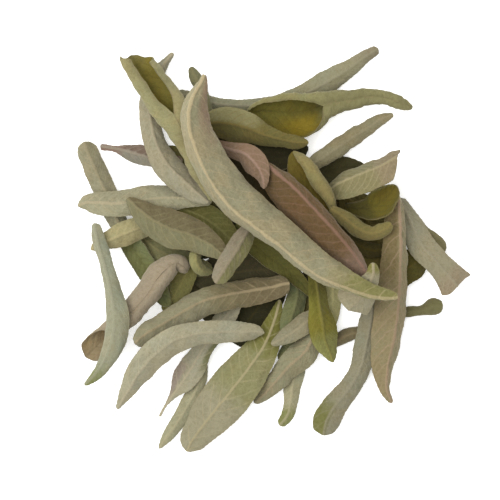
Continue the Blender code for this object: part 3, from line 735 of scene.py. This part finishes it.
for leaf in (
    Leaf("top_long_leaf", "grey", (12, 30, 20, 40),
         [(176, 91, 8), (198, 98, 13), (222, 103, 12), (250, 104, 13), (278, 101, 16), (304, 92, 20),
          (327, 80, 23), (347, 68, 18), (364, 56, 13), (378, 47, 9)],
         (122, 119, 98), rib=(126, 121, 99), veins=0.2, ends=(0, 5),
         patches=[((114, 106, 86), 0.92, 1.2, -2, 2)]),
    Leaf("top_dark_leaf", "green", DISHED,
         [(240, 152, 10), (262, 155, 24), (282, 156, 26), (298, 150, 20), (308, 146, 8)],
         (110, 108, 76), (42, 39, 16), opens=True),
    Leaf("right_dark_leaf", "green", DISHED,
         [(312, 182, 10), (326, 172, 26), (342, 167, 24), (356, 167, 16), (370, 172, 8)],
         (110, 108, 76), (50, 47, 18), opens=True),
    Leaf("right_round_leaf", "green", ARCHED,
         [(402, 220, 8), (416, 228, 15), (429, 239, 18), (438, 246, 18), (444, 253, 10)], (106, 101, 74),
         rib=(108, 103, 76), veins=0.3),
    Leaf("right_olive_leaf", "green", FLAT,
         [(382, 294, 8), (392, 283, 24), (403, 270, 32), (416, 261, 30), (430, 252, 10)], (76, 70, 28)),
    Leaf("right_stub_leaf", "green", ROLLED,
         [(390, 313, 6), (406, 312, 9), (422, 310, 9), (434, 306, 16), (443, 305, 12)], (100, 96, 64),
         rib=(102, 98, 66), veins=0.3),
    Leaf("right_cross_leaf", "mauve", ROLLED,
         [(326, 349, 5), (338, 340, 11), (351, 334, 13), (366, 332, 11), (384, 330, 5)], (102, 94, 72)),
    Leaf("bottom_hooked_leaf", "pale", ARCHED,
         [(298, 352, 8), (295, 368, 20), (292, 384, 18), (290, 401, 14), (287, 415, 13), (279, 426, 9)],
         (136, 133, 110), ends=(0, -1), patches=[((108, 110, 66), 0.75, 1.2, -2, 2)]),
    Leaf("bottom_slim_leaf", "pale", ARCHED,
         [(204, 362, 6), (199, 380, 14), (190, 400, 17), (177, 422, 15), (165, 439, 10), (158, 449, 3)],
         (136, 133, 110)),
    Leaf("bottom_stalked_leaf", "grey", FLAT,
         [(159, 417, 3), (165, 406, 3), (172, 396, 8), (182, 382, 24), (192, 367, 27), (201, 351, 21),
          (215, 332, 20), (229, 312, 20), (241, 296, 8)], (142, 137, 118),
         patches=[((134, 122, 110), 0.14, 0.4, 0.3, 2), ((100, 100, 70), 0.42, 0.7, -2, -0.5)]),
    Leaf("left_olive_leaf", "green", ARCHED,
         [(194, 254, 8), (187, 270, 21), (179, 286, 24), (171, 300, 20), (164, 313, 8)], (102, 100, 60)),
    Leaf("left_green_leaf", "green", DISHED,
         [(112, 212, 8), (123, 232, 20), (135, 252, 23), (149, 275, 22), (160, 294, 18), (168, 306, 8)],
         (118, 116, 88), (96, 101, 66), opens=True),
    Leaf("left_blunt_leaf", "pale", ROOF,
         [(121, 230, 16), (111, 207, 22), (101, 184, 22), (92, 164, 22), (86, 150, 20), (83, 141, 16)],
         (124, 119, 98)),
    Leaf("left_twisted_leaf", "mauve", ROOF,
         [(99, 146, 7), (113, 148, 6), (126, 151, 15), (138, 154, 19), (150, 156, 18), (166, 158, 14),
          (182, 160, 6)],
         (122, 117, 106), ends=(2, 0), roll=(20, -20),
         patches=[((106, 90, 78), -0.2, 1.2, 0, 2), ((120, 98, 86), -0.2, 0.25, -2, 2)]),
    Leaf("middle_teal_leaf", "green", ARCHED,
         [(314, 330, 8), (303, 338, 15), (292, 346, 16), (284, 353, 12), (278, 359, 5)], (98, 100, 70)),
    Leaf("middle_grey_leaf", "pale", ARCHED,
         [(330, 272, 10), (332, 290, 19), (332, 308, 16), (330, 322, 12), (328, 334, 6)], (160, 156, 114)),
    Leaf("right_hidden_leaf", "green", ARCHED,
         [(346, 236, 8), (360, 246, 15), (374, 250, 15), (390, 247, 6)], (60, 54, 20)),
    Leaf("top_small_green_tip", "green", ROLLED,
         [(209, 114, 6), (205, 100, 9), (200, 87, 10), (194, 75, 10), (190, 66, 5)], (100, 98, 72),
         ends=(0, 3)),
):
    lay_leaf(leaf, heap)


# The second round of leaves.
# They lie across the first ones, each propped where it crosses another. The broad one keeps its strong
# cream midrib and side veins, and one has curled right up with its margins rolled over the upper face.
for leaf in (
    Leaf("left_tan_leaf", "pale", ARCHED,
         [(90, 249, 5), (101, 243, 14), (115, 237, 22), (132, 230, 24), (150, 223, 20), (170, 216, 8)],
         (142, 136, 104)),
    # Past a third of its length both faces take a felt colour: inside the roll this is painted light, so the
    # slit between the margins looks like a faint crease.
    Leaf("left_mauve_leaf", "mauve", (-12, -50, -14, -60),
         [(84, 356, 24), (93, 347, 24), (107, 333, 22), (126, 315, 22), (147, 291, 23), (163, 269, 23),
          (176, 261, 16), (187, 269, 10)],
         (128, 119, 103), (122, 108, 82), opens=True, ends=(1, 2), tip_section=(-38, -165, -50, -125),
         change=(0.02, 0.34), patches=[((132, 121, 102), 0.3, 1.2, -2, 2)]),
    Leaf("bottom_right_leaf", "pale", ROOF,
         [(314, 334, 8), (306, 350, 27), (289, 366, 25), (276, 381, 20), (264, 394, 14), (254, 403, 6)],
         (124, 120, 97), rib=(136, 122, 96)),
    Leaf("bottom_broad_leaf", "pale", FLAT,
         [(279, 300, 6), (273, 322, 18), (263, 346, 32), (247, 369, 43), (230, 391, 48), (212, 413, 45),
          (199, 430, 34), (189, 445, 23), (186, 452, 12)],
         (118, 116, 84), rib=(148, 138, 106), veins=0.65, lean=-1, stout=1.05,
         patches=[((96, 94, 44), -0.2, 0.3, -2, 2), ((130, 125, 102), 0.62, 1.2, -2, 2)]),
    Leaf("right_low_leaf", "grey", (14, 30, 14, 30),
         [(373, 290, 8), (371, 318, 22), (366, 345, 24), (360, 369, 21), (348, 390, 22), (334, 407, 26),
          (326, 422, 27), (323, 436, 20)],
         (120, 116, 98), rib=(128, 122, 102), veins=0.5, patches=[((98, 98, 56), 0.8, 1.2, -2, 0.1)]),
    Leaf("right_outer_leaf", "pale", (8, 18, 14, 24),
         [(400, 198, 8), (406, 213, 18), (414, 231, 26), (423, 248, 28), (431, 256, 27), (440, 266, 26),
          (449, 276, 30), (458, 287, 37)],
         (134, 129, 109), rib=(139, 132, 110), veins=0.5, corners=(2.2, 0.8),
         patches=[((132, 120, 98), 0.85, 1.2, -2, 2)],
         tip_edge=((-1, 1.0), (-0.65, 0), (-0.2, 0.1), (0.2, 0.4), (0.6, 0.6), (1, 0.3))),
    Leaf("middle_blue_leaf", "pale", ARCHED,
         [(291, 262, 8), (297, 282, 16), (295, 302, 21), (289, 321, 20), (283, 339, 8)], (94, 98, 68)),
    Leaf("middle_green_strip", "green", DISHED,
         [(234, 224, 8), (250, 241, 19), (268, 256, 21), (287, 270, 17), (302, 284, 13), (312, 297, 5)],
         (112, 110, 78), (78, 77, 32), opens=True),
    Leaf("middle_dark_green_leaf", "green", FLAT,
         [(158, 203, 8), (176, 207, 22), (195, 213, 29), (214, 224, 30), (229, 238, 22), (240, 252, 8)],
         (90, 88, 48), rib=(110, 106, 64)),
    Leaf("small_curled_tip", "pale", ROLLED,
         [(201, 244, 7), (195, 254, 10), (196, 264, 11), (203, 271, 10), (211, 272, 4)], (120, 117, 80)),
):
    lay_leaf(leaf, heap)


# The upper leaves, which give the heap its outline.
# Most lie with the felted underside up. Their margins have rolled down as they dried, and pale midribs and
# slanting side veins stand out of the felt. Three lie open: the boat, an olive one and the folded one.
for leaf in (
    Leaf("left_long_pale_leaf", "pale", ROOF,
         [(77, 206, 4), (85, 203, 15), (96, 203, 22), (112, 204, 26), (131, 202, 27), (152, 199, 28),
          (176, 198, 23), (196, 200, 14), (211, 202, 6)], (138, 133, 111)),
    Leaf("left_blue_rolled_leaf", "pale", (18, 40, 40, 75),
         [(95, 223, 7), (99, 240, 13), (106, 263, 13), (113, 289, 16), (118, 316, 22), (116, 338, 22),
          (107, 360, 15), (95, 376, 9), (85, 385, 3)],
         (126, 126, 108), rib=(132, 131, 110), veins=0.5, patches=[((106, 110, 68), 0.88, 1.2, -2, 2)]),
    Leaf("right_slim_rolled_leaf", "grey", ROLLED,
         [(304, 168, 10), (320, 159, 15), (335, 149, 17), (351, 138, 16), (367, 128, 14), (381, 119, 10),
          (393, 114, 3)], (124, 116, 91), rib=(126, 118, 93), ends=(0, 5), veins=0.15),
    # Past the middle both faces take a felt colour: inside the roll this is painted light, so the slit
    # between the margins looks like a faint crease.
    Leaf("top_boat_leaf", "green", (-16, -215, -22, -75),
         [(246, 114, 8), (263, 112, 27), (281, 114, 40), (297, 115, 46), (311, 111, 38), (323, 105, 28),
          (338, 101, 22), (353, 99, 18), (368, 96, 15), (384, 97, 13), (400, 102, 11), (412, 107, 4)],
         (118, 114, 80), (88, 82, 28), opens=True, ends=(0, 4), tip_section=(-48, -195, -46, -190),
         change=(0.32, 0.5), late=3,
         patches=[((112, 96, 18), 0.22, 0.4, -0.8, -0.2), ((115, 111, 76), 0.46, 1.2, -2, 2)]),
    Leaf("top_olive_leaf", "pale", ARCHED,
         [(200, 124, 10), (213, 122, 25), (229, 123, 34), (246, 127, 31), (263, 134, 22), (281, 139, 15),
          (298, 142, 13), (308, 142, 5)], (94, 86, 48), patches=[((120, 115, 80), -0.2, 0.5, 0.1, 2)]),
    Leaf("right_pink_rib_leaf", "grey", (58, 45, 12, 24),
         [(395, 194, 9), (394, 215, 19), (394, 240, 23), (393, 264, 26), (390, 302, 31), (388, 322, 31),
          (385, 342, 29), (382, 372, 19), (384, 389, 10), (391, 403, 4)],
         (121, 112, 86), rib=(144, 122, 100), patches=[((104, 92, 62), -0.1, 0.42, -2, -0.1)]),
    Leaf("right_open_olive_leaf", "green", (-25, -60, -25, -60),
         [(344, 206, 8), (354, 208, 13), (369, 208, 22), (382, 200, 28), (391, 191, 18), (395, 185, 8)],
         (114, 108, 72), (86, 78, 20), opens=True,
         patches=[((68, 62, 16), -0.2, 0.45, -2, 2), ((112, 106, 52), 0.6, 1.2, 0.7, 2)]),
    Leaf("right_veined_leaf", "pale", (52, 42, 8, 20),
         [(324, 196, 8), (338, 189, 22), (352, 183, 27), (368, 177, 28), (384, 170, 26), (398, 161, 23),
          (407, 155, 15)],
         (113, 109, 80), rib=(146, 136, 104), ends=(0, 2), corners=(2.2, 0.5), veins=0.6, lean=-1,
         patches=[((120, 108, 84), 0.62, 1.2, -2, 2)],
         tip_edge=((-1, 6.4), (-0.6, 4.6), (-0.2, 3.0), (0.2, 2.0), (0.5, 1.0), (1, 0.8))),
    Leaf("middle_folded_leaf", "green", (-60, -190, -30, -20),
         [(291, 152, 9), (297, 163, 23), (304, 178, 33), (314, 193, 31), (326, 208, 20), (333, 219, 7)],
         (117, 109, 72), (96, 84, 28), opens=True),
    Leaf("right_small_hook_leaf", "pale", (20, 60, 20, 60),
         [(329, 208, 8), (343, 217, 14), (357, 228, 16), (372, 233, 14), (384, 229, 13), (391, 223, 7)],
         (108, 99, 60)),
    Leaf("middle_pale_finger", "grey", ARCHED,
         [(320, 311, 8), (307, 321, 20), (291, 333, 18), (279, 340, 12), (271, 344, 5)], (122, 117, 97)),
    Leaf("left_striped_leaf", "pale", (14, 30, 18, 36),
         [(127, 198, 6), (138, 208, 20), (152, 219, 31), (170, 228, 38), (190, 234, 34), (208, 243, 26),
          (222, 254, 14), (230, 264, 5)],
         (104, 101, 77), veins=1.0, patches=[((98, 89, 64), -0.2, 1.2, 0.0, 2)]),
    Leaf("left_bowed_leaf", "pale", (30, 50, 20, 35),
         [(172, 52, 4), (161, 66, 10), (153, 82, 15), (147, 102, 17), (149, 122, 20), (154, 143, 22),
          (164, 163, 26), (180, 180, 26), (195, 193, 19), (208, 203, 5)], (132, 127, 109), ends=(2, 0)),
    Leaf("pair_upper_leaf", "pale", (12, 32, 34, 32),
         [(289, 284, 18), (270, 289, 24), (248, 293, 27), (225, 297, 27), (203, 303, 28), (182, 314, 26),
          (162, 326, 24), (145, 336, 23), (134, 344, 12)],
         (110, 102, 78), rib=(138, 124, 96), veins=0.75,
         patches=[((98, 88, 64), -0.2, 0.3, -2, 2), ((126, 122, 98), 0.5, 1.2, -2, 2)]),
    Leaf("pair_lower_leaf", "pale", (14, 34, 14, 34),
         [(116, 408, 4), (126, 391, 15), (138, 371, 25), (152, 355, 28), (176, 338, 27), (200, 332, 23),
          (224, 331, 23), (245, 331, 18), (257, 331, 12), (263, 332, 4)], (142, 138, 119)),
    Leaf("middle_upright_leaf", "pale", ROOF,
         [(255, 218, 8), (244, 236, 20), (233, 255, 22), (223, 270, 20), (215, 283, 12)],
         (120, 113, 98), patches=[((112, 109, 72), -0.2, 1.2, 0.0, 2)]),
    Leaf("green_tongue_leaf", "green", (12, 28, 12, 28),
         [(311, 266, 8), (315, 285, 17), (318, 305, 21), (321, 325, 28), (324, 340, 26), (329, 353, 15),
          (332, 362, 4)], (102, 98, 38), rib=(116, 109, 54), veins=0.5,
         patches=[((84, 80, 30), -0.2, 0.3, -2, 2), ((116, 116, 66), 0.72, 1.2, -2, 2)]),
):
    lay_leaf(leaf, heap)


# The mauve pair and the round end.
# Two leaves that dried to a dull reddish mauve, as older sage leaves do, and a short pale one whose end has
# curled under. They rest on the upper leaves.
for leaf in (
    Leaf("mauve_broad_leaf", "mauve", (62, 40, 12, 26),
         [(262, 163, 8), (272, 178, 24), (286, 193, 32), (304, 212, 33), (322, 231, 32), (340, 250, 28),
          (354, 265, 20), (366, 277, 6)],
         (88, 67, 41), (70, 58, 34), (122, 94, 80), veins=0.45, lean=-1,
         patches=[((88, 69, 42), -0.2, 0.3, -2, 2), ((110, 90, 74), 0.8, 1.2, -2, 2)]),
    Leaf("right_round_end_leaf", "pale", (20, 50, 12, 30),
         [(371, 262, 7), (371, 273, 13), (365, 286, 24), (356, 297, 36), (350, 304, 34), (347, 309, 20)],
         (134, 128, 107), patches=[((110, 106, 56), -0.2, 0.2, -2, 2)]),
    Leaf("mauve_small_leaf", "mauve", (22, 30, 22, 30),
         [(214, 142, 8), (230, 149, 15), (246, 154, 22), (257, 165, 24), (263, 178, 13), (264, 188, 4)],
         (113, 92, 76), (78, 66, 44), (138, 114, 100), veins=0.5, ends=(0, -3)),
):
    lay_leaf(leaf, heap)


# The trough at the top left.
# One leaf that curled the other way as it dried: both margins have rolled in over the olive upper face, and
# its broken stalk end stands open.
lay_leaf(
    Leaf("top_left_trough_leaf", "green", (-10, -165, -24, -212),
         [(130, 50, 25), (140, 66, 30), (153, 85, 33), (166, 104, 35), (179, 126, 28), (190, 149, 20),
          (198, 170, 15), (207, 188, 10), (212, 200, 4)],
         (126, 121, 89), (108, 100, 42), opens=True, ends=(4, 0), tip_section=(-46, -136, -32, -168),
         change=(0.25, 0.55), corners=(0.6, 2.2),
         patches=[((116, 108, 66), -0.2, 0.06, -0.5, 0.4)],
         stalk_edge=((-1, 1.8), (-0.64, 0), (-0.4, 1.1), (0, 0.9), (0.2, 1.7), (0.35, 3.2), (0.7, 4.4),
                     (1, 5))),
    heap,
)


# The long leaf in front.
# The longest leaf lies over all the others with its pale underside up, its right margin rolled down and its
# cream midrib running close to the left edge.
lay_leaf(
    Leaf("front_long_leaf", "pale", (30, 70, 70, 20),
         [(204, 76, 3), (202, 85, 9), (198, 95, 18), (195, 107, 25), (195, 124, 29), (202, 146, 33),
          (214, 170, 36), (239, 201, 38), (262, 220, 34), (287, 239, 31), (306, 256, 29), (324, 269, 27),
          (348, 281, 20), (371, 291, 14), (385, 294, 11), (396, 296, 5)],
         (132, 126, 102), rib=(160, 146, 114), ends=(1, 0), tip_section=(10, 20, 78, 14), veins=0.6,
         patches=[((110, 107, 64), 0.82, 1.2, -2, 2), ((126, 108, 88), -0.1, 0.2, 0.35, 2)]),
    heap,
)


# The sheet under the heap.
# A plain white sheet, which lies flat under all the leaves and glows faintly, as if lit from below.
FLOOR_SIDE = 6.0
FLOOR_GAP = 0.3 * MM
PAPER_GLOW = 0.4

floor_mesh = bpy.data.meshes.new("floor")
half = FLOOR_SIDE / 2
floor_corners = [(-half, -half, 0), (half, -half, 0), (half, half, 0), (-half, half, 0)]
floor_mesh.from_pydata(floor_corners, [], [(0, 1, 2, 3)])
paper = Finish("paper")
paper_spot = paper.node("ShaderNodeTexCoord", {}, {}, "Object")
paper_grain = paper.noise(paper_spot, 400.0)
paper_colour = paper.mix(paper_grain * 0.1, ink((250, 250, 249)), ink((244, 244, 242)))
paper_shader = paper.node("ShaderNodeBsdfPrincipled", {}, {
    "Base Color": paper_colour,
    "Roughness": 0.9,
    "Emission Color": (1.0, 1.0, 1.0, 1.0),
    "Emission Strength": PAPER_GLOW,
})
paper.node("ShaderNodeOutputMaterial", {}, {"Surface": paper_shader})
floor_mesh.materials.append(paper.material)
floor = bpy.data.objects.new("floor", floor_mesh)
floor.location.z = packed_box[0].z - FLOOR_GAP
bpy.context.scene.collection.objects.link(floor)


# The light.
# One broad soft lamp above and to the left, which gives the leaves their faint shadows, and a white room
# around them that fills these in.
ROOM_LIGHT = 0.7
LAMP_SIZE = 1.2
LAMP_POWER = 14.5
LAMP_PLACE = (-0.35, 0.1, 0.9)

world = bpy.data.worlds.new("studio")
world.use_nodes = True
room = world.node_tree.nodes["Background"].inputs
room["Color"].default_value = (1.0, 1.0, 1.0, 1.0)
room["Strength"].default_value = ROOM_LIGHT
bpy.context.scene.world = world

lamp_data = bpy.data.lights.new("soft_lamp", "AREA")
lamp_data.shape = "DISK"
lamp_data.size = LAMP_SIZE
lamp_data.energy = LAMP_POWER
lamp = bpy.data.objects.new("soft_lamp", lamp_data)
lamp.location = LAMP_PLACE
lamp.rotation_mode = "QUATERNION"
lamp.rotation_quaternion = lamp.location.to_track_quat("Z", "Y")
bpy.context.scene.collection.objects.link(lamp)


# The camera.
# It looks straight down from two metres, so that the leaves hardly lean outwards, and frames a square of
# 125 millimetres at ten millimetres above the sheet.
CAMERA_HEIGHT = 2.0
SEEN_SIDE = 125 * MM
SEEN_LEVEL = 10 * MM
SENSOR = 36.0
HEAP_FROM_PHOTO_MIDDLE = (24.0, -1.5)

camera_data = bpy.data.cameras.new("camera")
camera_data.sensor_width = SENSOR
camera_data.lens = SENSOR * (CAMERA_HEIGHT - SEEN_LEVEL) / SEEN_SIDE
camera_data.clip_end = 5 * CAMERA_HEIGHT
camera = bpy.data.objects.new("camera", camera_data)
camera.location = (-HEAP_FROM_PHOTO_MIDDLE[0] * GRID, HEAP_FROM_PHOTO_MIDDLE[1] * GRID, CAMERA_HEIGHT)
bpy.context.scene.collection.objects.link(camera)
bpy.context.scene.camera = camera
bpy.context.scene.view_settings.view_transform = "Standard"
